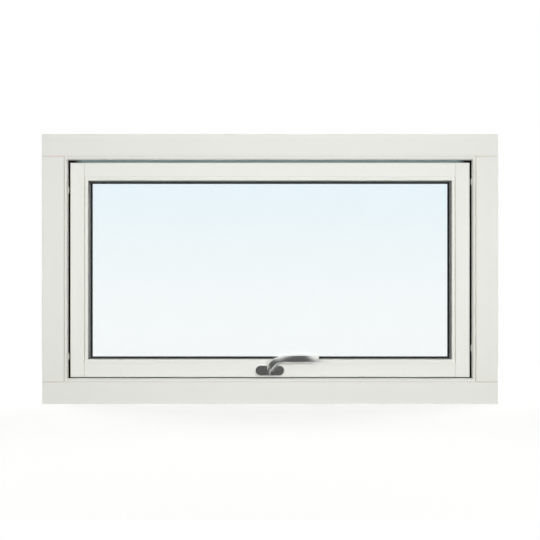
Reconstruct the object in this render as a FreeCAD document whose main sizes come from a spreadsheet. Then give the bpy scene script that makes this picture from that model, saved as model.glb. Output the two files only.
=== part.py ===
import FreeCAD, Part
import Sketcher
import math
import os

# Top hung awning window, seen from the room: X to the right, Y out of doors, Z up.
# The origin is in the middle of the underside of the sill.

SIZES = {
    # outer frame
    "frame_width": 980,
    "frame_height": 580,
    "frame_depth": 115,
    "frame_face": 55,
    "frame_joint": 47,
    "frame_round": 4.5,
    "lip_depth": 22,
    "stop_step": 3,
    "stop_depth": 8,
    "rebate_step": 13,
    "sill_fall": 10,
    # moulding and joint lines shared by frame and sash
    "quirk_width": 2,
    "quirk_depth": 2,
    "rail_quirk_depth": 0.8,
    "joint_bevel": 0.8,
    # sash
    "sash_setback": 5,
    "side_gap": 3.5,
    "top_gap": 5,
    "foot_gap": 1.7,
    "sash_face": 38.5,
    "sash_joint": 30,
    "sash_round": 1.4,
    "sash_thickness": 76,
    "sash_step": 9,
    "sash_flange": 12,
    "glass_lip": 16,
    "glass_rebate": 16,
    # sealed glass unit and its bedding
    "pane_thickness": 4,
    "pane_cavity": 12,
    "pane_margin": 4,
    "bedding": 3,
    "inner_bedding_show": 1.5,
    "outer_bedding_show": 4.7,
    "outer_bedding_side_show": 5.5,
    "spacer_show": 1,
    "spacer_height": 7.5,
    "bead_show": 1,
    "bead_bevel": 6,
    # weather seal round the sash
    "seal_gap": 0.3,
    "seal_lip": 3.5,
    "seal_nose": 3.5,
    "seal_slope": 2.5,
    "seal_inset": 1,
    "seal_chamfer": 1.2,
    # hinges
    "hinge_inset": 131,
    "hinge_length": 60,
    "knuckle_radius": 5,
    "knuckle_room": 0.5,
    "knuckle_length": 20,
    "knuckle_play": 0.6,
    "leaf_thickness": 3,
    "leaf_reach": 34,
    "pin_radius": 2.5,
    "running_clearance": 0.05,
    # fixing holes through the jambs and their covers
    "fixing_depth": 13,
    "fixing_near_end": 102,
    "fixing_far_end": 120,
    "fixing_radius": 5,
    "cover_radius": 8.5,
    "cover_proud": 2.2,
    "cover_dome": 0.3,
    "cover_rim": 2,
    "plug_radius": 7,
    "plug_depth": 8,
    "plug_room": 2,
    "plug_clearance": 0.1,
    # lock rail in the lower edge
    "lock_length": 320,
    "lock_width": 16,
    "lock_thickness": 3,
    # handle
    "handle_height": 14.8,
    "rosette_width": 62.4,
    "rosette_height": 22.2,
    "rosette_thickness": 9,
    "rosette_edge": 1.5,
    "rosette_floor": 2,
    "hub_radius": 6,
    "hub_wall": 0.8,
    "hub_edge_round": 2,
    "shank_gap": 1,
    "shank_hold": 4,
    "lever_reach": 104,
    "lever_rise": 26,
    "lever_gap": 0.3,
    "lever_stand": 39,
    "lever_width": 15.9,
    "lever_thickness": 8.6,
    "lever_crown": 55,
    "lever_round": 3,
    "lever_arris": 1.2,
    "lever_back_round": 3,
    "lever_tilt": 42,
    "lever_tip_round": 0.6,
}

doc = FreeCAD.newDocument("awning_window")
sheet = doc.addObject("Spreadsheet::Sheet", "sizes")
for row, (alias, value) in enumerate(SIZES.items(), 1):
    sheet.set("A%d" % row, alias)
    sheet.set("B%d" % row, str(value))
    sheet.setAlias("B%d" % row, alias)
doc.recompute()


class Size:
    # A number together with the expression that gives it from the sheet

    def __init__(self, number, text):
        self.number = float(number)
        self.text = text

    def __add__(self, other):
        other = as_size(other)
        return Size(self.number + other.number, "(%s + %s)" % (self.text, other.text))

    def __sub__(self, other):
        other = as_size(other)
        return Size(self.number - other.number, "(%s - %s)" % (self.text, other.text))

    def __mul__(self, other):
        other = as_size(other)
        return Size(self.number * other.number, "(%s * %s)" % (self.text, other.text))

    def __truediv__(self, other):
        other = as_size(other)
        return Size(self.number / other.number, "(%s / %s)" % (self.text, other.text))

    def __neg__(self):
        return Size(-self.number, "(0 - %s)" % self.text)

    def root(self):
        return Size(math.sqrt(self.number), "sqrt(%s)" % self.text)


def as_size(value):
    return value if isinstance(value, Size) else Size(value, repr(float(value)))


class Cells:
    # Reads a driving size from the sheet by its alias
    def __getattr__(self, alias):
        return Size(getattr(sheet, alias), "sizes." + alias)


s = Cells()
zero = as_size(0)
past = as_size(1)  # how far a cut runs on past the face it leaves

# Levels through the wall, from the room face of the frame
stop_back = s.lip_depth + s.stop_depth
sash_front = s.lip_depth + s.sash_setback
flange_front = sash_front + s.sash_step
sash_back = sash_front + s.sash_thickness
glass_seat = sash_front + s.glass_lip
unit_front = glass_seat + s.bedding
unit_depth = s.pane_thickness * 3 + s.pane_cavity * 2
unit_back = unit_front + unit_depth
bead_front = unit_back + s.bedding

# Widths and heights across the window
frame_shelf = s.frame_face - s.rebate_step
sash_width = s.frame_width - s.frame_face * 2 - s.side_gap * 2
sash_height = s.frame_height - s.frame_face * 2 - s.top_gap - s.foot_gap
sash_middle = s.frame_face + s.foot_gap + sash_height / 2
flange_width = sash_width + s.sash_flange * 2
flange_height = sash_height + s.sash_flange * 2
sash_edge = s.sash_flange
sash_line = s.sash_flange + s.sash_joint
sash_sight = s.sash_flange + s.sash_face
sash_shelf = sash_sight - s.glass_rebate
sight_width = sash_width - s.sash_face * 2
sight_height = sash_height - s.sash_face * 2
pane_grow = s.glass_rebate - s.pane_margin
pane_width = sight_width + pane_grow * 2
pane_height = sight_height + pane_grow * 2

# Hinge axis, in the middle of the gap over the sash and clear of its outer face
hinge_half_gap = (s.frame_face + s.top_gap - s.sash_flange - frame_shelf) / 2
hinge_level = s.frame_height - frame_shelf - hinge_half_gap
knuckle_space = s.knuckle_radius + s.knuckle_room
hinge_depth = sash_back + knuckle_space


# Drawing helpers

def bind(thing, path, value):
    thing.setExpression(path, as_size(value).text)


def new_body(label):
    body = doc.addObject("PartDesign::Body", label)
    body.Label = label
    return body


def new_sketch(body, role, lift=None):
    sketch = body.newObject("Sketcher::SketchObject", body.Label + "_sketch")
    plane = [o for o in body.Origin.OriginFeatures if o.Role == role][0]
    sketch.AttachmentSupport = [(plane, "")]
    sketch.MapMode = "FlatFace"
    if lift is not None:
        sketch.AttachmentOffset = FreeCAD.Placement(FreeCAD.Vector(0, 0, lift.number), FreeCAD.Rotation())
        bind(sketch, "AttachmentOffset.Base.z", lift)
    return sketch


def hold(sketch, kind, edge, end, value):
    # Ties one end of an edge to the sketch origin along one direction
    if value.number == 0:
        axis = -2 if kind == "DistanceX" else -1
        sketch.addConstraint(Sketcher.Constraint("PointOnObject", edge, end, axis))
        return
    index = sketch.addConstraint(Sketcher.Constraint(kind, -1, 1, edge, end, value.number))
    bind(sketch, "Constraints[%d]" % index, value)


def arc_between(start, end, radius):
    # A positive radius keeps the centre to the left on the way from start to end
    chord = end - start
    side = FreeCAD.Vector(-chord.y, chord.x, 0).normalize()
    reach = math.sqrt(max(radius ** 2 - chord.Length ** 2 / 4, 0))
    centre = start + chord / 2 + side * (reach if radius > 0 else -reach)
    first = math.atan2(start.y - centre.y, start.x - centre.x)
    last = math.atan2(end.y - centre.y, end.x - centre.x)
    circle = Part.Circle(centre, FreeCAD.Vector(0, 0, 1), abs(radius))
    return Part.ArcOfCircle(circle, first, last) if radius > 0 else Part.ArcOfCircle(circle, last, first)


def draw_loop(sketch, corners):
    # Corners are (x, y), or (x, y, radius) where an arc leaves that corner
    corners = [tuple(as_size(c) for c in corner) for corner in corners]
    points = [FreeCAD.Vector(c[0].number, c[1].number, 0) for c in corners]
    first = sketch.GeometryCount
    ends = []
    for i, corner in enumerate(corners):
        start, end = points[i], points[(i + 1) % len(points)]
        if len(corner) == 3:
            sketch.addGeometry(arc_between(start, end, corner[2].number), False)
            ends.append((1, 2) if corner[2].number > 0 else (2, 1))
        else:
            sketch.addGeometry(Part.LineSegment(start, end), False)
            ends.append((1, 2))
    for i, corner in enumerate(corners):
        after = (i + 1) % len(corners)
        sketch.addConstraint(
            Sketcher.Constraint("Coincident", first + i, ends[i][1], first + after, ends[after][0]))
        hold(sketch, "DistanceX", first + i, ends[i][0], corner[0])
        hold(sketch, "DistanceY", first + i, ends[i][0], corner[1])
        if len(corner) == 3:
            radius = corner[2] if corner[2].number > 0 else -corner[2]
            index = sketch.addConstraint(Sketcher.Constraint("Radius", first + i, radius.number))
            bind(sketch, "Constraints[%d]" % index, radius)


def draw_box(sketch, left, low, right, high):
    draw_loop(sketch, [(left, low), (right, low), (right, high), (left, high)])


def draw_circle(sketch, x, y, radius):
    x, y, radius = as_size(x), as_size(y), as_size(radius)
    circle = Part.Circle(FreeCAD.Vector(x.number, y.number, 0), FreeCAD.Vector(0, 0, 1), radius.number)
    edge = sketch.addGeometry(circle, False)
    hold(sketch, "DistanceX", edge, 3, x)
    hold(sketch, "DistanceY", edge, 3, y)
    index = sketch.addConstraint(Sketcher.Constraint("Radius", edge, radius.number))
    bind(sketch, "Constraints[%d]" % index, radius)


def sweep(body, kind, sketch, length, both=False, back=False):
    feature = body.newObject("PartDesign::" + kind, body.Label + "_" + kind.lower())
    feature.Profile = sketch
    feature.SideType = "Symmetric" if both else "One side"
    feature.Reversed = back
    feature.Length = length.number
    bind(feature, "Length", length)
    sketch.Visibility = False
    doc.recompute()
    return feature


def place(thing, x, y, z, turn=0, about=(0, 1, 0)):
    spot = [as_size(c) for c in (x, y, z)]
    rotation = FreeCAD.Rotation(FreeCAD.Vector(*about), turn)
    thing.Placement = FreeCAD.Placement(FreeCAD.Vector(*[c.number for c in spot]), rotation)
    for axis, value in zip("xyz", spot):
        bind(thing, "Placement.Base." + axis, value)


def place_side(thing, side, width, height, middle):
    # Turns a piece drawn as a lower member to one side of a rectangle
    turn, x, z = {
        "bottom": (0, zero, middle - height / 2),
        "top": (180, zero, middle + height / 2),
        "left": (90, -width / 2, middle),
        "right": (-90, width / 2, middle),
    }[side]
    place(thing, x, -s.frame_depth / 2, z, turn)


def edges_where(feature, test):
    return ["Edge%d" % i for i, edge in enumerate(feature.Shape.Edges, 1)
            if all(test(v.Point) for v in edge.Vertexes)]


def near(a, b):
    return abs(a - b.number) < 1e-4


# Timber members: drawn lengthways along X, through the wall along Y, from the outer edge along Z

def mitre_ends(body, half, line, sight):
    # Cuts both ends of the moulding at 45 degrees, from the joint line to the sight edge
    sketch = new_sketch(body, "XZ_Plane")
    far = half + line + past
    for sign in (1, -1):
        loop = [(half, line), (far, line), (far, sight + past), (half - (sight - line) - past, sight + past)]
        draw_loop(sketch, [(x * sign, z) for x, z in loop][::sign])
    sweep(body, "Pocket", sketch, s.frame_depth * 4, both=True)


def bevel_joint(body, half, front, low, line):
    # A fine bevel on the butted ends, which shows as the joint line
    tip = body.Tip
    names = edges_where(tip, lambda p: near(abs(p.x), half) and near(p.y, front)
                        and low.number - 1e-4 <= p.z <= line.number + 1e-4)
    bevel = body.newObject("PartDesign::Chamfer", body.Label + "_bevel")
    bevel.Base = (tip, names)
    bevel.Size = s.joint_bevel.number
    bind(bevel, "Size", s.joint_bevel)
    doc.recompute()


def frame_outline(inner_edge, quirk):
    return [
        (0, 0),
        (s.frame_depth, 0),
        (s.frame_depth, inner_edge),
        (stop_back, inner_edge),
        (stop_back, s.frame_face - s.stop_step),
        (s.lip_depth, s.frame_face - s.stop_step),
        (s.lip_depth, s.frame_face),
        (s.frame_round, s.frame_face, s.frame_round),
        (0, s.frame_face - s.frame_round),
        (0, s.frame_joint + s.quirk_width),
        (quirk, s.frame_joint + s.quirk_width / 2),
        (0, s.frame_joint),
    ]


def frame_rail(label, side, fall):
    # Head or sill: runs the full width, with its rebate stopped at the jambs
    body = new_body(label)
    profile = new_sketch(body, "YZ_Plane")
    draw_loop(profile, frame_outline(s.frame_joint, s.rail_quirk_depth))
    sweep(body, "Pad", profile, s.frame_width, both=True)
    rebate = new_sketch(body, "YZ_Plane")
    draw_loop(rebate, [(stop_back, frame_shelf), (s.frame_depth + past, frame_shelf - fall),
                       (s.frame_depth + past, s.frame_joint + past), (stop_back, s.frame_joint + past)])
    sweep(body, "Pocket", rebate, s.frame_width - frame_shelf * 2, both=True)
    mitre_ends(body, s.frame_width / 2 - s.frame_joint, s.frame_joint, s.frame_face)
    place_side(body, side, s.frame_width, s.frame_height, s.frame_height / 2)
    return body


def jamb(side):
    # Stands between sill and head; both jambs are one piece turned half round
    body = new_body("frame_%s_jamb" % side)
    half = s.frame_height / 2 - s.frame_joint
    profile = new_sketch(body, "YZ_Plane")
    draw_loop(profile, frame_outline(frame_shelf, s.quirk_depth))
    sweep(body, "Pad", profile, half * 2, both=True)
    mitre_ends(body, half, s.frame_joint, s.frame_face)
    bevel_joint(body, half, zero, zero, s.frame_joint)
    drill = new_sketch(body, "XY_Plane")
    seat = new_sketch(body, "XY_Plane", s.frame_face)
    for spot in fixing_spots:
        draw_circle(drill, spot, s.fixing_depth, s.fixing_radius)
        draw_circle(seat, spot, s.fixing_depth, s.plug_radius)
    sweep(body, "Pocket", drill, s.frame_face + past, back=True)
    sweep(body, "Pocket", seat, s.plug_depth + s.plug_room)
    place_side(body, side, s.frame_width, s.frame_height, s.frame_height / 2)
    return body


def sash_outline(inner_edge, quirk):
    return [
        (flange_front, 0),
        (sash_back, 0),
        (sash_back, inner_edge),
        (glass_seat, inner_edge),
        (glass_seat, sash_sight),
        (sash_front + s.sash_round, sash_sight, s.sash_round),
        (sash_front, sash_sight - s.sash_round),
        (sash_front, sash_line + s.quirk_width),
        (sash_front + quirk, sash_line + s.quirk_width / 2),
        (sash_front, sash_line),
        (sash_front, sash_edge + s.sash_round, s.sash_round),
        (sash_front + s.sash_round, sash_edge),
        (flange_front, sash_edge),
    ]


def stile(side):
    # Runs the full height of the sash, with its glazing rebate stopped at the rails
    body = new_body("sash_%s_stile" % side)
    profile = new_sketch(body, "YZ_Plane")
    draw_loop(profile, sash_outline(sash_line, s.quirk_depth))
    sweep(body, "Pad", profile, flange_height, both=True)
    rebate = new_sketch(body, "YZ_Plane")
    draw_box(rebate, glass_seat, sash_shelf, sash_back + past, sash_line + past)
    sweep(body, "Pocket", rebate, flange_height - sash_shelf * 2, both=True)
    mitre_ends(body, flange_height / 2 - sash_line, sash_line, sash_sight)
    ends = new_sketch(body, "XY_Plane")
    edge = sash_height / 2
    for sign in (1, -1):
        loop = [(edge - s.sash_round, sash_front - past), (edge + s.sash_flange + past, sash_front - past),
                (edge + s.sash_flange + past, flange_front), (edge, flange_front),
                (edge, sash_front + s.sash_round), (edge - s.sash_round, sash_front)]
        loop = [(x * sign, y) for x, y in loop]
        if sign > 0:
            loop[4] += (-s.sash_round,)
        else:
            loop = loop[::-1]
            loop[0] += (s.sash_round * -1,)
        draw_loop(ends, loop)
    sweep(body, "Pocket", ends, sash_sight * 4, both=True)
    place_side(body, side, flange_width, flange_height, sash_middle)
    return body


def rail(side):
    # Fits between the stiles
    body = new_body("sash_%s_rail" % side)
    half = flange_width / 2 - sash_line
    profile = new_sketch(body, "YZ_Plane")
    draw_loop(profile, sash_outline(sash_shelf, s.rail_quirk_depth))
    sweep(body, "Pad", profile, half * 2, both=True)
    mitre_ends(body, half, sash_line, sash_sight)
    bevel_joint(body, half, sash_front, sash_edge + s.sash_round, sash_line)
    place_side(body, side, flange_width, flange_height, sash_middle)
    return body


def mortise(body, boxes, lift, deep, upward):
    # Lets a plate into a member, flush with the face at the given height
    sketch = new_sketch(body, "XY_Plane", lift)
    for left, near_edge, right, far_edge in boxes:
        draw_box(sketch, left, near_edge, right, far_edge)
    sweep(body, "Pocket", sketch, deep, back=upward)


half_height = s.frame_height / 2
fixing_spots = [s.fixing_far_end - half_height, half_height - s.fixing_near_end]
hinge_place = sash_width / 2 - s.hinge_inset
hinge_spots = [-hinge_place, hinge_place]

head = frame_rail("frame_head", "top", zero)
hinge_sides = [(x - s.hinge_length / 2, x + s.hinge_length / 2) for x in hinge_spots]
leaf_edge = hinge_depth - s.leaf_reach
mortise(head, [(left, leaf_edge, right, s.frame_depth + past) for left, right in hinge_sides],
        frame_shelf, s.leaf_thickness, upward=False)
sill = frame_rail("frame_sill", "bottom", s.sill_fall)
jambs = [jamb("left"), jamb("right")]
stiles = [stile("left"), stile("right")]
top_rail = rail("top")
mortise(top_rail, [(left, leaf_edge, right, sash_back + past) for left, right in hinge_sides],
        zero, s.leaf_thickness, upward=True)
bottom_rail = rail("bottom")
lock_middle = (flange_front + sash_back) / 2
mortise(bottom_rail, [(-s.lock_length / 2, lock_middle - s.lock_width / 2,
                       s.lock_length / 2, lock_middle + s.lock_width / 2)],
        zero, s.lock_thickness, upward=True)


# Strips and rings round the glass

def strip(label, side, corners, width, height, middle):
    # One side of a mitred border, drawn from the outer edge of its rectangle
    length = width if side in ("top", "bottom") else height
    body = new_body(label)
    profile = new_sketch(body, "YZ_Plane")
    draw_loop(profile, corners)
    sweep(body, "Pad", profile, length, both=True)
    mitre_ends(body, length / 2, zero, max((as_size(c[1]) for c in corners), key=lambda z: z.number))
    place_side(body, side, width, height, middle)
    return body


def ring(label, width, height, border, front, thickness, side_border=None):
    body = new_body(label)
    side_border = border if side_border is None else side_border
    sketch = new_sketch(body, "XZ_Plane", -front)
    for x, z in ((width / 2, height / 2), (width / 2 - side_border, height / 2 - border)):
        draw_box(sketch, -x, -z, x, z)
    sweep(body, "Pad", sketch, thickness, back=True)
    place(body, 0, -s.frame_depth / 2, sash_middle)
    return body


def pane(label, front):
    box = doc.addObject("Part::Box", label)
    for name, value in (("Length", pane_width), ("Width", s.pane_thickness), ("Height", pane_height)):
        bind(box, name, value)
    place(box, -pane_width / 2, front - s.frame_depth / 2, sash_middle - pane_height / 2)
    return box


pitch = s.pane_thickness + s.pane_cavity
names = ("inner", "middle", "outer")
panes = [pane(name + "_pane", unit_front + pitch * i) for i, name in enumerate(names)]
spacer_width = sight_width - s.spacer_show * 2 + s.spacer_height * 2
spacer_height = sight_height - s.spacer_show * 2 + s.spacer_height * 2
spacers = [ring(name + "_spacer_bar", spacer_width, spacer_height, s.spacer_height,
                unit_front + s.pane_thickness + pitch * i, s.pane_cavity)
           for i, name in enumerate(("inner", "outer"))]
beddings = [
    ring("inner_glazing_gasket", pane_width, pane_height, pane_grow + s.inner_bedding_show,
         glass_seat, s.bedding),
    ring("outer_glazing_gasket", pane_width, pane_height, pane_grow + s.outer_bedding_show,
         unit_back, s.bedding, pane_grow + s.outer_bedding_side_show),
]

bead_height = s.glass_rebate + s.bead_show
bead_corners = [(bead_front, 0), (sash_back, 0), (sash_back, bead_height - s.bead_bevel),
                (bead_front, bead_height)]
rebate_width = sight_width + s.glass_rebate * 2
rebate_height = sight_height + s.glass_rebate * 2
sides = ("top", "bottom", "left", "right")
beads = [strip("glazing_bead_" + side, side, bead_corners, rebate_width, rebate_height, sash_middle)
         for side in sides]

seal_face = stop_back + s.seal_gap
seal_tip = flange_front - s.seal_lip
seal_corners = [
    (flange_front, s.seal_inset), (flange_front, sash_edge), (seal_tip, sash_edge),
    (seal_tip, sash_edge - s.seal_nose), (seal_face, sash_edge - s.seal_nose - s.seal_slope),
    (seal_face, s.seal_inset + s.seal_chamfer), (seal_face + s.seal_chamfer, s.seal_inset),
]
seals = [strip("weather_seal_" + side, side, seal_corners, flange_width, flange_height, sash_middle)
         for side in sides]


# Hinges: knuckles out of doors over the sash, leaves let into head and top rail

def knuckle(body, length):
    barrel = new_sketch(body, "YZ_Plane")
    draw_circle(barrel, 0, 0, s.knuckle_radius)
    sweep(body, "Pad", barrel, length, both=True)


def bore(body):
    hole = new_sketch(body, "YZ_Plane")
    draw_circle(hole, 0, 0, s.pin_radius + s.running_clearance)
    sweep(body, "Pocket", hole, s.hinge_length * 2, both=True)


def leaf_plate(body, near_edge, far_edge, low, length):
    plate = new_sketch(body, "YZ_Plane")
    draw_box(plate, near_edge, low, far_edge, low + s.leaf_thickness)
    sweep(body, "Pad", plate, length, both=True)


def frame_leaf(label, x):
    body = new_body(label)
    leaf_plate(body, -s.leaf_reach, zero, hinge_half_gap, s.hinge_length)
    knuckle(body, s.hinge_length)
    notch = new_sketch(body, "YZ_Plane")
    draw_box(notch, -knuckle_space, -knuckle_space, knuckle_space, hinge_half_gap + s.leaf_thickness + past)
    sweep(body, "Pocket", notch, s.knuckle_length + s.knuckle_play, both=True)
    bore(body)
    place(body, x, hinge_depth - s.frame_depth / 2, hinge_level)
    return body


def sash_leaf(label, x):
    body = new_body(label)
    low = -hinge_half_gap - s.leaf_thickness
    leaf_plate(body, -s.leaf_reach, -knuckle_space, low, s.hinge_length)
    leaf_plate(body, -knuckle_space - past, zero, low, s.knuckle_length)
    knuckle(body, s.knuckle_length)
    bore(body)
    place(body, x, hinge_depth - s.frame_depth / 2, hinge_level)
    return body


def hinge_pin(label, x):
    pin = doc.addObject("Part::Cylinder", label)
    bind(pin, "Radius", s.pin_radius)
    bind(pin, "Height", s.hinge_length)
    place(pin, x - s.hinge_length / 2, hinge_depth - s.frame_depth / 2, hinge_level, 90)
    return pin


hinges = []
for name, spot in zip(("left", "right"), hinge_spots):
    hinges += [frame_leaf("hinge_frame_leaf_" + name, spot), sash_leaf("hinge_sash_leaf_" + name, spot),
               hinge_pin("hinge_pin_" + name, spot)]


# Covers over the fixing holes in the jambs

def fixing_cover(label, side, spot):
    body = new_body(label)
    half = new_sketch(body, "XY_Plane")
    plug = s.plug_radius - s.plug_clearance
    draw_loop(half, [
        (-s.plug_depth, 0), (s.cover_proud, 0), (s.cover_proud - s.cover_dome, s.cover_radius - s.cover_rim),
        (s.cover_proud / 2, s.cover_radius), (0, s.cover_radius), (0, plug), (-s.plug_depth, plug),
    ])
    turned = body.newObject("PartDesign::Revolution", label + "_revolution")
    turned.Profile = half
    turned.ReferenceAxis = (half, ["H_Axis"])
    turned.Angle = 360
    doc.recompute()
    reach = s.frame_width / 2 - s.frame_face
    depth = s.fixing_depth - s.frame_depth / 2
    if side == "left":
        place(body, -reach, depth, half_height - spot)
    else:
        place(body, reach, depth, half_height + spot, 180)
    return body


covers = [
    fixing_cover("fixing_cover_left_upper", "left", fixing_spots[0]),
    fixing_cover("fixing_cover_left_lower", "left", fixing_spots[1]),
    fixing_cover("fixing_cover_right_lower", "right", fixing_spots[0]),
    fixing_cover("fixing_cover_right_upper", "right", fixing_spots[1]),
]

lock_rail = doc.addObject("Part::Box", "lock_faceplate")
for name, value in (("Length", s.lock_length), ("Width", s.lock_width), ("Height", s.lock_thickness)):
    bind(lock_rail, name, value)
place(lock_rail, -s.lock_length / 2, lock_middle - s.lock_width / 2 - s.frame_depth / 2,
      sash_middle - flange_height / 2)


# Handle: oblong rosette on the lower rail and a lever that sweeps up and out of it

handle_level = s.frame_face + s.foot_gap + s.handle_height
handle_plane = sash_front - s.frame_depth / 2


def rosette():
    body = new_body("handle_rosette")
    outline = new_sketch(body, "XZ_Plane")
    end = s.rosette_height / 2
    straight = (s.rosette_width - s.rosette_height) / 2
    tip = straight + end
    draw_loop(outline, [(-straight, -end), (straight, -end, end), (tip, 0, end),
                        (straight, end), (-straight, end, end), (-tip, 0, end)])
    plate = sweep(body, "Pad", outline, s.rosette_thickness)
    soft = body.newObject("PartDesign::Fillet", "handle_rosette_fillet")
    soft.Base = (plate, edges_where(plate, lambda p: near(p.y, -s.rosette_thickness)))
    soft.Radius = s.rosette_edge.number
    bind(soft, "Radius", s.rosette_edge)
    doc.recompute()
    hole = new_sketch(body, "XZ_Plane", s.rosette_thickness)
    draw_circle(hole, 0, 0, s.hub_radius + s.running_clearance)
    sweep(body, "Pocket", hole, s.rosette_thickness - s.rosette_floor)
    place(body, 0, handle_plane, handle_level)
    return body


# Along the lever, as shares of its named sizes: reach, rise and stand, then width, thickness,
# upper round, front arris, back round and tilt
LEVER_SECTIONS = [
    (0.004, 0.06, 0.36, 0.90, 1.66, 1.00, 1.80, 1.00, 1.0),
    (0.030, 0.30, 0.62, 0.90, 1.58, 1.00, 1.70, 1.00, 0.86),
    (0.090, 0.63, 0.77, 0.89, 1.42, 1.00, 1.60, 1.00, 0.71),
    (0.185, 0.90, 0.87, 0.90, 1.22, 1.00, 1.40, 1.00, 0.50),
    (0.345, 1.01, 0.945, 0.96, 1.07, 0.90, 1.00, 1.00, 0.29),
    (0.610, 1.03, 1.00, 1.00, 1.00, 0.73, 0.80, 1.00, 0.10),
    (0.840, 1.01, 0.946, 0.96, 0.95, 0.67, 0.75, 0.93, 0.10),
    (1.000, 0.98, 0.85, 0.89, 0.88, 0.60, 0.75, 0.87, 0.10),
]


def lever_outline(w, t, upper, lower, back):
    # One slice, front upwards: a crowned face, a soft upper edge, a crisp lower arris and a rounded back
    crown = s.lever_crown
    middle = t - crown
    sides = []
    for edge in (upper, lower):
        reach = crown - edge
        height = (reach * reach - (w - edge) * (w - edge)).root()
        share = crown / reach
        sides.append((middle + height, (w - edge) * share, middle + height * share))
    (rise, x, y), (fall, a, b) = sides
    return [
        (-w + back, -t), (w - back, -t, back), (w, -t + back), (w, rise, upper),
        (x, y, crown), (-a, b, lower), (-w, fall), (-w, -t + back, back),
    ]


def lever():
    body = new_body("handle_lever")
    collar = s.hub_radius + s.hub_wall
    rows = [((zero, s.rosette_thickness + s.lever_gap, zero),
             (collar, collar, s.lever_round, s.hub_edge_round, s.lever_back_round), 1.0)]
    for a, b, c, wide, thick, upper, lower, back, tilt in LEVER_SECTIONS:
        rows.append(((s.lever_reach * a, s.rosette_thickness + s.lever_stand * c, s.lever_rise * b),
                     (s.lever_width * wide / 2, s.lever_thickness * thick / 2, s.lever_round * upper,
                      s.lever_arris * lower, s.lever_back_round * back), tilt))
    points = [FreeCAD.Vector(x.number, -y.number, z.number) for (x, y, z), _, _ in rows]
    slices = []
    for i, (spot, shape, tilt) in enumerate(rows):
        ahead, behind = points[min(i + 1, len(points) - 1)], points[max(i - 1, 0)]
        slope = math.atan2(ahead.z - behind.z, ahead.x - behind.x)
        along = FreeCAD.Vector(0, -1, 0) if i == 0 else (ahead - behind).normalize()
        across = FreeCAD.Vector(-math.sin(slope), 0, math.cos(slope))
        front = along.cross(across)
        turn = math.radians(s.lever_tilt.number * tilt)
        side = across * math.cos(turn) - front * math.sin(turn)
        sketch = new_sketch(body, "XY_Plane")
        sketch.AttachmentOffset = FreeCAD.Placement(
            points[i], FreeCAD.Rotation(side, along.cross(side), along, "ZXY"))
        for axis, value in zip("xyz", (spot[0], -spot[1], spot[2])):
            bind(sketch, "AttachmentOffset.Base." + axis, value)
        draw_loop(sketch, lever_outline(*shape))
        slices.append(sketch)
    loft = body.newObject("PartDesign::AdditiveLoft", "handle_lever_loft")
    loft.Profile = slices[0]
    loft.Sections = slices[1:]
    doc.recompute()
    tip = body.newObject("PartDesign::Fillet", "handle_lever_tip")
    tip.Base = (loft, edges_where(loft, lambda p: abs((p - points[-1]).dot(along)) < 1e-4))
    tip.Radius = s.lever_tip_round.number
    bind(tip, "Radius", s.lever_tip_round)
    doc.recompute()
    shank = new_sketch(body, "XZ_Plane", s.rosette_floor + s.shank_gap)
    draw_circle(shank, 0, 0, s.hub_radius)
    sweep(body, "Pad", shank, s.rosette_thickness - s.rosette_floor - s.shank_gap + s.shank_hold)
    place(body, 0, handle_plane, handle_level)
    return body


handle = [rosette(), lever()]

doc.recompute()
pieces = ([head, sill, top_rail, bottom_rail, lock_rail] + jambs + stiles + panes + spacers + beddings
          + beads + seals + hinges + covers + handle)

for thing in doc.Objects:
    if "Invalid" in thing.State or "Error" in thing.State:
        raise RuntimeError("%s did not build: %s" % (thing.Label, thing.State))
os.makedirs("parts", exist_ok=True)
for piece in pieces:
    if piece.Shape.isNull() or not piece.Shape.isValid() or len(piece.Shape.Solids) != 1:
        raise RuntimeError("%s is not one valid solid" % piece.Label)
    piece.Shape.exportStep("parts/%s.step" % piece.Label)
print(len(pieces), "pieces written")
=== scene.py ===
import math

import bmesh
import bpy
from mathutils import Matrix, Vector


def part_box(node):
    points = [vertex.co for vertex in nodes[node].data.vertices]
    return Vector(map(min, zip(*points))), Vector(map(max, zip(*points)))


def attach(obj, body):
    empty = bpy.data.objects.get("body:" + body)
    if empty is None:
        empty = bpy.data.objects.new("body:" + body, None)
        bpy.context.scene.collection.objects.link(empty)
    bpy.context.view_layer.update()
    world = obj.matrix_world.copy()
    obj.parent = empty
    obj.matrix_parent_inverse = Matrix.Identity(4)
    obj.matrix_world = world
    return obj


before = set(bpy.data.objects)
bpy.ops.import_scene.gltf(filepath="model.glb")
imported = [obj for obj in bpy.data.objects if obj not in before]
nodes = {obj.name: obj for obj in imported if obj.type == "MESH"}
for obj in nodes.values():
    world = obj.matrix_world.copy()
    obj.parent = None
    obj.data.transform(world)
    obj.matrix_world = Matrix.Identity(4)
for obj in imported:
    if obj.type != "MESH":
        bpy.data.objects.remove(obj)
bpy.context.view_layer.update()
scene = bpy.context.scene
scene.view_settings.view_transform = "Standard"
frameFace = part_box("frame_head")[0][1]  # the faces that look into the room
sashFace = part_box("sash_top_rail")[0][1]
print("frame loaded:", len(nodes), "solids")


# colour, size and node helpers

def srgb(code):
    # sRGB hex to the linear colour that sockets take
    parts = [int(code[i:i + 2], 16) / 255 for i in (1, 3, 5)]
    return [c / 12.92 if c <= 0.04045 else ((c + 0.055) / 1.055) ** 2.4 for c in parts] + [1.0]


def metres(mm):
    return mm / 1000


def perMetre(mm):
    # texture scale for a feature of so many millimetres
    return 1000 / mm


def addNode(tree, kind, settings=None, links=None):
    node = tree.nodes.new("ShaderNode" + kind)
    for name, value in (settings or {}).items():
        if isinstance(name, str) and hasattr(node, name):
            setattr(node, name, value)
        else:
            node.inputs[name].default_value = value
    for name, source in (links or {}).items():
        tree.links.new(source, node.inputs[name])
    return node


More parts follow.
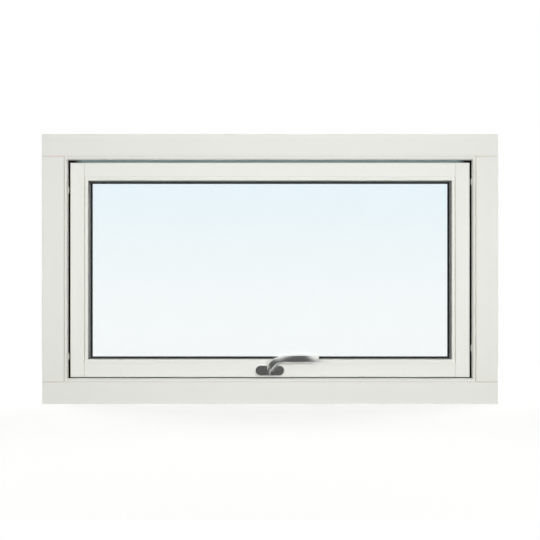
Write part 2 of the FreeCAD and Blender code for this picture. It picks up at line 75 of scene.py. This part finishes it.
def startMaterial(name, sockets):
    material = bpy.data.materials.new(name)
    material.use_nodes = True
    tree = material.node_tree
    tree.nodes.clear()
    shader = addNode(tree, "BsdfPrincipled", sockets)
    addNode(tree, "OutputMaterial", None, {"Surface": shader.outputs["BSDF"]})
    spot = addNode(tree, "TexCoord").outputs["Object"]
    return material, tree, shader, spot


# finishes; sizes and bump depths are in millimetres

paint = {
    "frame": ("#EBEBE6", "#E6E7E1"), "sash": ("#EEEEE9", "#E9EAE4"), "patch": 170,
    "dust": "#CFCCC2", "dustShare": 0.5, "ledge": (0.75, 1.0), "speck": 9,
    "grainAcross": 2.4, "grainAlong": 110, "grainBump": (0.25, 0.06),
    "orangePeel": 1.8, "peelBump": (0.2, 0.05), "roughness": (0.34, 0.46),
    # painted shade: a warm darker tone laid along the creases and joint lines
    "creaseShadeColour": "#C6BCA8",
    "creaseFade": (0.5, 1.25),  # where a line begins to fade and where it ends, in half widths
    "creaseDepth": (2.6, 3.4),
    # the lines of painted shade on each kind of member
    "creases": {  # axis, middle, how far the line lies from there, half width, strength
        "frameAcross": [("Z", 290, 242.3, 0.9, 0.3)],
        "frameUpright": [("X", 0, 442, 1.0, 0.5), ("X", 0, 435.6, 1.4, 0.35), ("Z", 290, 242.6, 0.9, 1.0)],
        "sashAcross": [("X", 0, 401.1, 0.9, 0.6)],
        "sashUpright": [("X", 0, 400.5, 1.0, 0.5)],
    },
}


def creaseShadeMask(tree, spot, face, lines):
    # painted shade: the strength of each line along it, near the face that looks into the room, and 0
    # elsewhere
    place = addNode(tree, "SeparateXYZ", None, {0: spot})
    start, end = paint["creaseFade"]
    mask = None
    for axis, middle, away, half, strength in lines:
        offset = addNode(tree, "Math", {"operation": "SUBTRACT", 1: metres(middle)},
                         {0: place.outputs[axis]})
        side = addNode(tree, "Math", {"operation": "ABSOLUTE"}, {0: offset.outputs[0]})
        miss = addNode(tree, "Math", {"operation": "SUBTRACT", 1: metres(away)}, {0: side.outputs[0]})
        far = addNode(tree, "Math", {"operation": "ABSOLUTE"}, {0: miss.outputs[0]})
        line = addNode(tree, "MapRange", {
            "From Min": metres(half * start), "From Max": metres(half * end),
            "To Min": strength, "To Max": 0.0}, {"Value": far.outputs[0]})
        if mask:
            line = addNode(tree, "Math", {"operation": "MAXIMUM"}, {0: mask.outputs[0], 1: line.outputs[0]})
        mask = line
    shallow, deep = (face + metres(depth) for depth in paint["creaseDepth"])
    near = addNode(tree, "MapRange", {"From Min": shallow, "From Max": deep, "To Min": 1.0, "To Max": 0.0},
                   {"Value": place.outputs["Y"]})
    paintedShade = addNode(tree, "Math", {"operation": "MULTIPLY"}, {0: mask.outputs[0], 1: near.outputs[0]})
    return paintedShade.outputs[0]


def paintedPine(name, along, tones, face, lines):
    # Factory sprayed satin paint on pine: an even warm white, a soft broad sheen,
    # the faintest orange peel, grain lines that run the length of the member,
    # and a warm darker line of painted shade in the creases where members meet
    material, tree, shader, spot = startMaterial(name, {
        "IOR": 1.5, "Coat Weight": 0.08, "Coat Roughness": 0.3})
    patch = addNode(tree, "TexNoise", {"Scale": perMetre(paint["patch"]), "Detail": 3}, {"Vector": spot})
    tone = addNode(tree, "Mix", {"data_type": "RGBA", 6: srgb(tones[0]), 7: srgb(tones[1])},
                   {0: patch.outputs["Fac"]})
    # painted shade along the creases and joint lines
    creaseShaded = addNode(tree, "Mix", {"data_type": "RGBA", 7: srgb(paint["creaseShadeColour"])},
                    {0: creaseShadeMask(tree, spot, face, lines), 6: tone.outputs[2]})
    # dust settles on ledges that look up
    facing = addNode(tree, "SeparateXYZ", None, {0: addNode(tree, "NewGeometry").outputs["Normal"]})
    low, high = paint["ledge"]
    ledge = addNode(tree, "MapRange", {
        "From Min": low, "From Max": high, "To Min": 0.0, "To Max": paint["dustShare"]},
        {"Value": facing.outputs["Z"]})
    specks = addNode(tree, "TexNoise", {"Scale": perMetre(paint["speck"]), "Detail": 6, "Roughness": 0.7},
                     {"Vector": spot})
    settled = addNode(tree, "Math", {"operation": "MULTIPLY"},
                      {0: ledge.outputs[0], 1: specks.outputs["Fac"]})
    dusty = addNode(tree, "Mix", {"data_type": "RGBA", 7: srgb(paint["dust"])},
                    {0: settled.outputs[0], 6: creaseShaded.outputs[2]})
    tree.links.new(dusty.outputs[2], shader.inputs["Base Color"])
    stretch = [perMetre(paint["grainAcross"])] * 3
    stretch["XYZ".index(along)] = perMetre(paint["grainAlong"])
    lie = addNode(tree, "Mapping", {"Scale": stretch}, {"Vector": spot})
    grain = addNode(tree, "TexNoise", {"Scale": 1.0, "Detail": 4, "Distortion": 0.3},
                    {"Vector": lie.outputs[0]})
    peel = addNode(tree, "TexNoise", {"Scale": perMetre(paint["orangePeel"]), "Detail": 1}, {"Vector": spot})
    low, high = paint["roughness"]
    gloss = addNode(tree, "MapRange", {"From Min": 0.3, "From Max": 0.7, "To Min": low, "To Max": high},
                    {"Value": grain.outputs["Fac"]})
    tree.links.new(gloss.outputs[0], shader.inputs["Roughness"])
    strength, depth = paint["grainBump"]
    ridges = addNode(tree, "Bump", {"Strength": strength, "Distance": metres(depth)},
                     {"Height": grain.outputs["Fac"]})
    strength, depth = paint["peelBump"]
    dimples = addNode(tree, "Bump", {"Strength": strength, "Distance": metres(depth)},
                      {"Height": peel.outputs["Fac"], "Normal": ridges.outputs[0]})
    tree.links.new(dimples.outputs[0], shader.inputs["Normal"])
    return material


glass = {"tint": "#FEFFFF", "smear": 60, "roughness": (0.0, 0.012)}


def floatGlass():
    # Clear float glass: colourless to look through, with wiping smears that only a glancing light shows
    material, tree, shader, spot = startMaterial("clearFloatGlass", {
        "Base Color": srgb(glass["tint"]), "Transmission Weight": 1.0, "IOR": 1.5})
    smear = addNode(tree, "TexNoise", {"Scale": perMetre(glass["smear"]), "Detail": 5, "Distortion": 1.5},
                    {"Vector": spot})
    low, high = glass["roughness"]
    haze = addNode(tree, "MapRange", {"From Min": 0.45, "From Max": 0.75, "To Min": low, "To Max": high},
                   {"Value": smear.outputs["Fac"]})
    tree.links.new(haze.outputs[0], shader.inputs["Roughness"])
    return material


rubber = {
    # the weather seal is black all round; the grey on top and the olive at the foot are painted light, the
    # lit look of the gap there
    "sideBlack": "#161410", "topPaintedLight": "#7C8B8C", "footPaintedLight": "#4E5046",
    "innerGrey": "#5E605C", "outerBlack": "#16281F",
    "topEnds": (405, 422),  # how far from the middle the top seal turns black
    "bloom": 14, "bloomGain": 1.35, "bloomLift": 0.004, "roughness": (0.55, 0.8),
    "skin": 0.7, "skinBump": (0.3, 0.1),
}


def extrudedRubber(name, colour, endColour=None):
    # Extruded EPDM: matt, black or grey, with a pale bloom in patches and a fine skin;
    # where endColour is given, the last stretch before each corner has it
    material, tree, shader, spot = startMaterial(name, {"IOR": 1.5, "Specular IOR Level": 0.2})
    bloom = addNode(tree, "TexNoise", {"Scale": perMetre(rubber["bloom"]), "Detail": 4}, {"Vector": spot})
    base = srgb(colour)
    pale = [min(1, c * rubber["bloomGain"] + rubber["bloomLift"]) for c in base[:3]] + [1]
    tone = addNode(tree, "Mix", {"data_type": "RGBA", 6: base, 7: pale}, {0: bloom.outputs["Fac"]})
    # where the middle of a seal has painted light, its ends keep the seal's own colour
    if endColour:
        start, full = rubber["topEnds"]
        place = addNode(tree, "SeparateXYZ", None, {0: spot})
        away = addNode(tree, "Math", {"operation": "ABSOLUTE"}, {0: place.outputs["X"]})
        near = addNode(tree, "MapRange", {"From Min": metres(start), "From Max": metres(full)},
                       {"Value": away.outputs[0]})
        tone = addNode(tree, "Mix", {"data_type": "RGBA", 7: srgb(endColour)},
                       {0: near.outputs[0], 6: tone.outputs[2]})
    tree.links.new(tone.outputs[2], shader.inputs["Base Color"])
    low, high = rubber["roughness"]
    gloss = addNode(tree, "MapRange", {"To Min": low, "To Max": high}, {"Value": bloom.outputs["Fac"]})
    tree.links.new(gloss.outputs[0], shader.inputs["Roughness"])
    skin = addNode(tree, "TexNoise", {"Scale": perMetre(rubber["skin"]), "Detail": 2}, {"Vector": spot})
    strength, depth = rubber["skinBump"]
    bump = addNode(tree, "Bump", {"Strength": strength, "Distance": metres(depth)},
                   {"Height": skin.outputs["Fac"]})
    tree.links.new(bump.outputs[0], shader.inputs["Normal"])
    return material


spacer = {
    "metal": "#E4E6E4", "hole": "#3A3D3B", "holeRadius": 0.75, "holeEdge": 0.2, "pitch": 4.2,
    "line": -1.5, "cavityPitch": 16,  # the first row of holes along the depth, and the next row's distance
    "rolled": 1.1, "roughness": (0.32, 0.5), "holeBump": (0.4, 0.3),
}


def perforatedAluminium():
    # Roll formed aluminium spacer bar: mill grey with a line of breather holes along it,
    # drawn coarser than the real ones of half a millimetre so that they show
    material, tree, shader, spot = startMaterial("perforatedAluminium", {"Metallic": 0.85})
    place = addNode(tree, "SeparateXYZ", None, {0: spot})
    facing = addNode(tree, "SeparateXYZ", None, {0: addNode(tree, "NewGeometry").outputs["Normal"]})
    upright = addNode(tree, "Math", {"operation": "ABSOLUTE"}, {0: facing.outputs["X"]})
    along = addNode(tree, "Mix", {"data_type": "FLOAT"},
                    {0: upright.outputs[0], 2: place.outputs["X"], 3: place.outputs["Z"]})
    step = addNode(tree, "Math", {"operation": "PINGPONG", 1: metres(spacer["pitch"] / 2)},
                   {0: along.outputs[0]})
    depth = addNode(tree, "Math", {"operation": "SUBTRACT", 1: metres(spacer["line"])},
                    {0: place.outputs["Y"]})
    across = addNode(tree, "Math", {"operation": "PINGPONG", 1: metres(spacer["cavityPitch"] / 2)},
                     {0: depth.outputs[0]})
    offset = addNode(tree, "CombineXYZ", None, {0: step.outputs[0], 1: across.outputs[0]})
    reach = addNode(tree, "VectorMath", {"operation": "LENGTH"}, {0: offset.outputs[0]})
    radius, edge = metres(spacer["holeRadius"]), spacer["holeEdge"]
    metal = addNode(tree, "MapRange", {"From Min": radius * (1 - edge), "From Max": radius * (1 + edge)},
                    {"Value": reach.outputs["Value"]})
    # the breather holes are dark spots of painted shade
    tone = addNode(tree, "Mix", {"data_type": "RGBA", 6: srgb(spacer["hole"]), 7: srgb(spacer["metal"])},
                   {0: metal.outputs[0]})
    tree.links.new(tone.outputs[2], shader.inputs["Base Color"])
    rolled = addNode(tree, "TexNoise", {"Scale": perMetre(spacer["rolled"]), "Detail": 3}, {"Vector": spot})
    low, high = spacer["roughness"]
    gloss = addNode(tree, "MapRange", {"To Min": low, "To Max": high}, {"Value": rolled.outputs["Fac"]})
    tree.links.new(gloss.outputs[0], shader.inputs["Roughness"])
    strength, sunk = spacer["holeBump"]
    bump = addNode(tree, "Bump", {"Strength": strength, "Distance": metres(sunk)},
                   {"Height": metal.outputs[0]})
    tree.links.new(bump.outputs[0], shader.inputs["Normal"])
    return material


nickel = {
    "metal": "#D4D5D3", "worn": "#DDDEDB", "rub": 26, "scratch": 0.35, "scratchLength": 22,
    "scratchBump": (0.12, 0.04), "roughness": (0.17, 0.25),
}


def satinNickel():
    # Cast zinc, satin nickel plated: mid grey, a silky stretched highlight from
    # the brushing that runs the length of the grip, paler where hands rub
    material, tree, shader, spot = startMaterial("satinNickelPlate", {"Metallic": 1.0})
    stretch = [perMetre(nickel[size]) for size in ("scratchLength", "scratch", "scratch")]
    lie = addNode(tree, "Mapping", {"Scale": stretch}, {"Vector": spot})
    brushed = addNode(tree, "TexNoise", {"Scale": 1.0, "Detail": 3}, {"Vector": lie.outputs[0]})
    rubbed = addNode(tree, "TexNoise", {"Scale": perMetre(nickel["rub"]), "Detail": 3}, {"Vector": spot})
    tone = addNode(tree, "Mix", {"data_type": "RGBA", 6: srgb(nickel["metal"]), 7: srgb(nickel["worn"])},
                   {0: rubbed.outputs["Fac"]})
    tree.links.new(tone.outputs[2], shader.inputs["Base Color"])
    low, high = nickel["roughness"]
    gloss = addNode(tree, "MapRange", {"From Min": 0.3, "From Max": 0.7, "To Min": low, "To Max": high},
                    {"Value": brushed.outputs["Fac"]})
    tree.links.new(gloss.outputs[0], shader.inputs["Roughness"])
    strength, depth = nickel["scratchBump"]
    bump = addNode(tree, "Bump", {"Strength": strength, "Distance": metres(depth)},
                   {"Height": brushed.outputs["Fac"]})
    tree.links.new(bump.outputs[0], shader.inputs["Normal"])
    return material


zinc = {
    "metal": "#B3B7BA", "clouded": "#989DA1", "cloud": 5, "roughness": (0.28, 0.5),
    "grit": 0.5, "gritBump": (0.15, 0.05),
}


def zincPlate():
    # Electro zinc plated steel: cool grey, clouded in patches, with a fine even grit
    material, tree, shader, spot = startMaterial("zincPlatedSteel", {"Metallic": 1.0})
    cloud = addNode(tree, "TexNoise", {"Scale": perMetre(zinc["cloud"]), "Detail": 5}, {"Vector": spot})
    tone = addNode(tree, "Mix", {"data_type": "RGBA", 6: srgb(zinc["metal"]), 7: srgb(zinc["clouded"])},
                   {0: cloud.outputs["Fac"]})
    tree.links.new(tone.outputs[2], shader.inputs["Base Color"])
    low, high = zinc["roughness"]
    gloss = addNode(tree, "MapRange", {"To Min": low, "To Max": high}, {"Value": cloud.outputs["Fac"]})
    tree.links.new(gloss.outputs[0], shader.inputs["Roughness"])
    grit = addNode(tree, "TexNoise", {"Scale": perMetre(zinc["grit"]), "Detail": 2}, {"Vector": spot})
    strength, depth = zinc["gritBump"]
    bump = addNode(tree, "Bump", {"Strength": strength, "Distance": metres(depth)},
                   {"Height": grit.outputs["Fac"]})
    tree.links.new(bump.outputs[0], shader.inputs["Normal"])
    return material


cover = {
    "cream": "#E9E6DB", "rubbed": "#E1DED1", "patch": 7, "texture": 0.6, "textureBump": (0.15, 0.04),
    "roughness": (0.4, 0.6),
}


def mouldedPolypropylene():
    # Moulded polypropylene: cream white, waxy, with a fine spark eroded texture
    material, tree, shader, spot = startMaterial("mouldedPolypropylene", {
        "IOR": 1.49, "Subsurface Weight": 0.05, "Subsurface Scale": 0.002})
    patch = addNode(tree, "TexNoise", {"Scale": perMetre(cover["patch"]), "Detail": 3}, {"Vector": spot})
    tone = addNode(tree, "Mix", {"data_type": "RGBA", 6: srgb(cover["cream"]), 7: srgb(cover["rubbed"])},
                   {0: patch.outputs["Fac"]})
    tree.links.new(tone.outputs[2], shader.inputs["Base Color"])
    eroded = addNode(tree, "TexNoise", {"Scale": perMetre(cover["texture"]), "Detail": 1}, {"Vector": spot})
    low, high = cover["roughness"]
    gloss = addNode(tree, "MapRange", {"To Min": low, "To Max": high}, {"Value": eroded.outputs["Fac"]})
    tree.links.new(gloss.outputs[0], shader.inputs["Roughness"])
    strength, depth = cover["textureBump"]
    bump = addNode(tree, "Bump", {"Strength": strength, "Distance": metres(depth)},
                   {"Height": eroded.outputs["Fac"]})
    tree.links.new(bump.outputs[0], shader.inputs["Normal"])
    return material


creases = paint["creases"]
frameAcross = paintedPine("sprayedPineFrameAcross", "X", paint["frame"], frameFace, creases["frameAcross"])
frameUpright = paintedPine("sprayedPineFrameUpright", "Z", paint["frame"], frameFace, creases["frameUpright"])
sashAcross = paintedPine("sprayedPineSashAcross", "X", paint["sash"], sashFace, creases["sashAcross"])
sashUpright = paintedPine("sprayedPineSashUpright", "Z", paint["sash"], sashFace, creases["sashUpright"])
clearGlass = floatGlass()
sideRubber = extrudedRubber("blackRubberSeal", rubber["sideBlack"])
# painted light: the top seal grey in the middle and the foot seal olive, on a seal that is black
topRubber = extrudedRubber("blackRubberSealPaintedLightTop", rubber["topPaintedLight"], rubber["sideBlack"])
footRubber = extrudedRubber("blackRubberSealPaintedLightFoot", rubber["footPaintedLight"])
innerRubber = extrudedRubber("greyGlazingRubber", rubber["innerGrey"])
outerRubber = extrudedRubber("blackGlazingRubber", rubber["outerBlack"])
spacerMetal = perforatedAluminium()
handleMetal = satinNickel()
plateMetal = zincPlate()
coverPlastic = mouldedPolypropylene()

dressing = {
    frameAcross: ["frame_head", "frame_sill"],
    frameUpright: ["frame_left_jamb", "frame_right_jamb"],
    sashAcross: ["sash_top_rail", "sash_bottom_rail", "glazing_bead_top", "glazing_bead_bottom"],
    sashUpright: ["sash_left_stile", "sash_right_stile", "glazing_bead_left", "glazing_bead_right"],
    clearGlass: ["inner_pane", "middle_pane", "outer_pane"],
    sideRubber: ["weather_seal_left", "weather_seal_right"],
    topRubber: ["weather_seal_top"],
    footRubber: ["weather_seal_bottom"],
    innerRubber: ["inner_glazing_gasket"],
    outerRubber: ["outer_glazing_gasket"],
    spacerMetal: ["inner_spacer_bar", "outer_spacer_bar"],
    handleMetal: ["handle_rosette", "handle_lever"],
    plateMetal: ["hinge_frame_leaf_left", "hinge_frame_leaf_right", "hinge_sash_leaf_left",
                 "hinge_sash_leaf_right", "hinge_pin_left", "hinge_pin_right", "lock_faceplate"],
    coverPlastic: ["fixing_cover_left_upper", "fixing_cover_left_lower", "fixing_cover_right_upper",
                   "fixing_cover_right_lower"],
}
dressed = 0
for material, names in dressing.items():
    for name in names:
        for holder in nodes[name].material_slots:
            holder.material = material
        dressed += 1
print("finishes on", dressed, "of", len(nodes), "solids")


# screws in the hinge leaves and the lock's faceplate, in millimetres

screw = {
    "radius": 3.4, "rise": 0.55, "crown": 0.78,
    "socket": 1.7, "depth": 0.4, "lobe": 0.72, "lobes": 6, "lobeCorners": 4,
    "leafSpots": [(-20, 10), (20, 10), (0, 18)],  # from the leaf's middle and its inner edge
    "leafThickness": 3, "lockInset": 9,
}


def cornersOf(geometry):
    return [part for part in geometry if isinstance(part, bmesh.types.BMVert)]


def screwHeads(name, body, spots, facing):
    # raised countersunk heads with a six lobed socket, all looking up (1) or down (-1)
    heads = bmesh.new()
    rim = bmesh.ops.create_circle(heads, cap_ends=True, segments=screw["lobes"] * screw["lobeCorners"],
                                  radius=metres(screw["radius"]))["verts"]
    lifted = bmesh.ops.extrude_face_region(heads, geom=[rim[0].link_faces[0]])["geom"]
    top = [part for part in lifted if isinstance(part, bmesh.types.BMFace)]
    ring = cornersOf(lifted)
    bmesh.ops.scale(heads, vec=(screw["crown"], screw["crown"], 1), verts=ring)
    bmesh.ops.translate(heads, vec=(0, 0, metres(screw["rise"])), verts=ring)
    land = screw["radius"] * screw["crown"] - screw["socket"]
    bmesh.ops.inset_region(heads, faces=top, thickness=metres(land), use_even_offset=True)
    # the second half of each lobe's corners is drawn in
    drawnIn = [corner for i, corner in enumerate(top[0].verts)
               if i % screw["lobeCorners"] >= screw["lobeCorners"] / 2]
    bmesh.ops.scale(heads, vec=(screw["lobe"], screw["lobe"], 1), verts=drawnIn)
    sunk = bmesh.ops.extrude_face_region(heads, geom=top)["geom"]
    bmesh.ops.translate(heads, vec=(0, 0, -metres(screw["depth"])), verts=cornersOf(sunk))
    bmesh.ops.delete(heads, geom=top, context="FACES_ONLY")
    bmesh.ops.scale(heads, vec=(1, 1, facing), verts=heads.verts)
    shape = heads.verts[:] + heads.edges[:] + heads.faces[:]
    for spot in spots[1:]:
        twin = bmesh.ops.duplicate(heads, geom=shape)["geom"]
        bmesh.ops.translate(heads, vec=spot, verts=cornersOf(twin))
    bmesh.ops.translate(heads, vec=spots[0], verts=cornersOf(shape))
    bmesh.ops.recalc_face_normals(heads, faces=heads.faces)
    data = bpy.data.meshes.new(name)
    heads.to_mesh(data)
    heads.free()
    data.materials.append(plateMetal)
    piece = bpy.data.objects.new(name, data)
    scene.collection.objects.link(piece)
    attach(piece, body)


def leafSpots(kind, facing):
    # where the screws stand on the inner faces of the left and right leaf
    spots = []
    thick = metres(screw["leafThickness"])
    for side in ("left", "right"):
        low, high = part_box("hinge_" + kind + "_leaf_" + side)
        middle = (low[0] + high[0]) / 2
        face = low[2] + thick if facing > 0 else high[2] - thick
        for across, deep in screw["leafSpots"]:
            spots.append((middle + metres(across), low[1] + metres(deep), face))
    return spots


def lockSpots():
    low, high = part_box("lock_faceplate")
    inset = metres(screw["lockInset"])
    return [(x, (low[1] + high[1]) / 2, low[2]) for x in (low[0] + inset, high[0] - inset)]


screwHeads("hingeScrewsSash", "sash", leafSpots("sash", 1), 1)
screwHeads("hingeScrewsFrame", "frame", leafSpots("frame", -1), -1)
screwHeads("lockScrews", "sash", lockSpots(), -1)
print("screws set in the hinges and the lock")


# floor, light and camera, in metres

studio = {
    "white": "#FFFFFF",
    "floor": "#CDCDCB", "floorGlow": 0.665, "floorHalf": (4, 2.15, 1), "floorPlace": (0, -0.15, -0.0002),
    "skyTop": "#F0FAFF", "skyMiddle": "#FBFEFF", "skyFoot": "#FFFFFE", "skyReach": 0.045,
    "paneGain": 1.15,  # makes up for what three panes take
    "worldLevel": 0.3, "mirrorFront": 0.14, "mirrorAround": 1.4,
    "mirrorZones": [  # towards, where the white begins and where it is full
        ((0.35, 0.74, 0.57), 0.15, 0.55), ((0, 0, 1), 0.33, 0.68), ((0.75, 0, -0.66), 0.35, 0.65),
        ((0.85, 0, 0.53), 0.28, 0.62),
    ],
    "lamps": {  # place, aim, width, height, watts, spread in degrees
        "softboxTop": ((0.1, -4.2, 1.25), (0, 0, 0.27), 2.0, 0.8, 11, 180),
        "softboxRight": ((0.95, -4.4, 0.45), (0.45, 0, 0.34), 0.9, 0.8, 4.46, 40),
        "softboxLeft": ((-0.95, -4.4, 0.45), (-0.45, 0, 0.34), 0.9, 0.8, 3.7, 40),
        "rearRight": ((1.9, 2.4, 1.9), (0, 0, 0.27), 1.2, 1.0, 34, 180),
        "rearLeft": ((-1.9, 2.4, 1.9), (0, 0, 0.27), 1.2, 1.0, 34, 180),
    },
}


def backdropRays(tree):
    # rays that see the plain white backdrop, those of them that look through the panes,
    # and those that metal or a pane has mirrored
    path = addNode(tree, "LightPath").outputs
    bounced = addNode(tree, "Math", {"operation": "GREATER_THAN", 1: 0.5}, {0: path["Glossy Depth"]})
    through = addNode(tree, "Math", {"operation": "SUBTRACT", "use_clamp": True},
                      {0: path["Is Transmission Ray"], 1: bounced.outputs[0]})
    seen = addNode(tree, "Math", {"operation": "MAXIMUM"}, {0: path["Is Camera Ray"], 1: through.outputs[0]})
    back = addNode(tree, "Math", {"operation": "MULTIPLY"},
                   {0: path["Is Transmission Ray"], 1: bounced.outputs[0]})
    mirrored = addNode(tree, "Math", {"operation": "MAXIMUM"}, {0: path["Is Glossy Ray"], 1: back.outputs[0]})
    return seen.outputs[0], through.outputs[0], mirrored.outputs[0]


def layFloor():
    # matt and pale, with a glow for the eye alone, so that it looks white and keeps the shadow
    sheet = bmesh.new()
    bmesh.ops.create_grid(sheet, x_segments=1, y_segments=1, size=1)
    bmesh.ops.scale(sheet, vec=studio["floorHalf"], verts=sheet.verts)
    bmesh.ops.translate(sheet, vec=studio["floorPlace"], verts=sheet.verts)
    data = bpy.data.meshes.new("floor")
    sheet.to_mesh(data)
    sheet.free()
    material = bpy.data.materials.new("paleFloor")
    material.use_nodes = True
    tree = material.node_tree
    tree.nodes.clear()
    seen = backdropRays(tree)[0]
    lift = addNode(tree, "Math", {"operation": "MULTIPLY", 1: studio["floorGlow"]}, {0: seen})
    glow = addNode(tree, "Emission", {"Color": srgb(studio["white"])}, {"Strength": lift.outputs[0]})
    matt = addNode(tree, "BsdfDiffuse", {"Color": srgb(studio["floor"])})
    both = addNode(tree, "AddShader", None, {0: matt.outputs[0], 1: glow.outputs[0]})
    addNode(tree, "OutputMaterial", None, {"Surface": both.outputs[0]})
    data.materials.append(material)
    floor = bpy.data.objects.new("floor", data)
    floor.visible_glossy = False  # metal mirrors the studio rather than the floor
    scene.collection.objects.link(floor)


def hangBackdrop():
    world = bpy.data.worlds.new("softStudio")
    scene.world = world
    world.use_nodes = True
    tree = world.node_tree
    tree.nodes.clear()
    seen, through, mirrored = backdropRays(tree)
    direction = addNode(tree, "TexCoord").outputs["Generated"]
    # metal mirrors white behind, above and to the right of the window, and the dimmer studio elsewhere
    bright = None
    for towards, start, full in studio["mirrorZones"]:
        along = addNode(tree, "VectorMath", {"operation": "DOT_PRODUCT", 1: towards}, {0: direction})
        zone = addNode(tree, "MapRange", {
            "From Min": start, "From Max": full, "To Min": studio["mirrorFront"],
            "To Max": studio["mirrorAround"], "interpolation_type": "SMOOTHSTEP"},
            {"Value": along.outputs["Value"]})
        if bright:
            zone = addNode(tree, "Math", {"operation": "MAXIMUM"}, {0: bright.outputs[0], 1: zone.outputs[0]})
        bright = zone
    level = addNode(tree, "Mix", {"data_type": "FLOAT", 2: studio["worldLevel"]},
                    {0: mirrored, 3: bright.outputs[0]})
    fill = addNode(tree, "Background", {"Color": srgb(studio["white"])}, {"Strength": level.outputs[0]})
    # through the panes the backdrop shades from white at the foot to a pale sky above
    rise = addNode(tree, "SeparateXYZ", None, {0: direction}).outputs["Z"]
    upper = addNode(tree, "MapRange", {"From Min": 0.0, "From Max": studio["skyReach"]}, {"Value": rise})
    lower = addNode(tree, "MapRange", {"From Min": -studio["skyReach"], "From Max": 0.0}, {"Value": rise})
    foot = addNode(tree, "Mix", {
        "data_type": "RGBA", 6: srgb(studio["skyFoot"]), 7: srgb(studio["skyMiddle"])}, {0: lower.outputs[0]})
    sky = addNode(tree, "Mix", {"data_type": "RGBA", 7: srgb(studio["skyTop"])},
                  {0: upper.outputs[0], 6: foot.outputs[2]})
    colour = addNode(tree, "Mix", {"data_type": "RGBA", 6: srgb(studio["white"])},
                     {0: through, 7: sky.outputs[2]})
    gain = addNode(tree, "Math", {"operation": "MULTIPLY_ADD", 1: studio["paneGain"] - 1, 2: 1.0},
                   {0: through})
    backdrop = addNode(tree, "Background", None, {"Color": colour.outputs[2], "Strength": gain.outputs[0]})
    either = addNode(tree, "MixShader", None, {0: seen, 1: fill.outputs[0], 2: backdrop.outputs[0]})
    addNode(tree, "OutputWorld", None, {"Surface": either.outputs[0]})


def setLamps():
    for name, (place, aim, width, height, watts, spread) in studio["lamps"].items():
        lamp = bpy.data.lights.new(name, "AREA")
        lamp.shape = "RECTANGLE"
        lamp.size, lamp.size_y = width, height
        lamp.energy, lamp.spread = watts, math.radians(spread)
        holder = bpy.data.objects.new(name, lamp)
        holder.location = place
        holder.rotation_euler = (Vector(aim) - Vector(place)).to_track_quat("-Z", "Y").to_euler()
        holder.visible_glossy = holder.visible_transmission = False  # metal and glass mirror the backdrop
        scene.collection.objects.link(holder)


# stands a little below the window's middle and looks level; rise sets the window in the picture
shot = {"away": 4.5, "height": 0.25, "lens": 139.66, "sensor": 36, "rise": 0.03276, "sight": 50}


def setCamera():
    camera = bpy.data.cameras.new("photoCamera")
    camera.sensor_width = shot["sensor"]
    camera.lens = shot["lens"]
    camera.shift_y = shot["rise"]
    camera.clip_end = shot["sight"]
    holder = bpy.data.objects.new("photoCamera", camera)
    holder.location = (0, frameFace - shot["away"], shot["height"])
    holder.rotation_euler = (math.pi / 2, 0, 0)
    scene.collection.objects.link(holder)
    scene.camera = holder


layFloor()
hangBackdrop()
setLamps()
setCamera()
print("studio set")
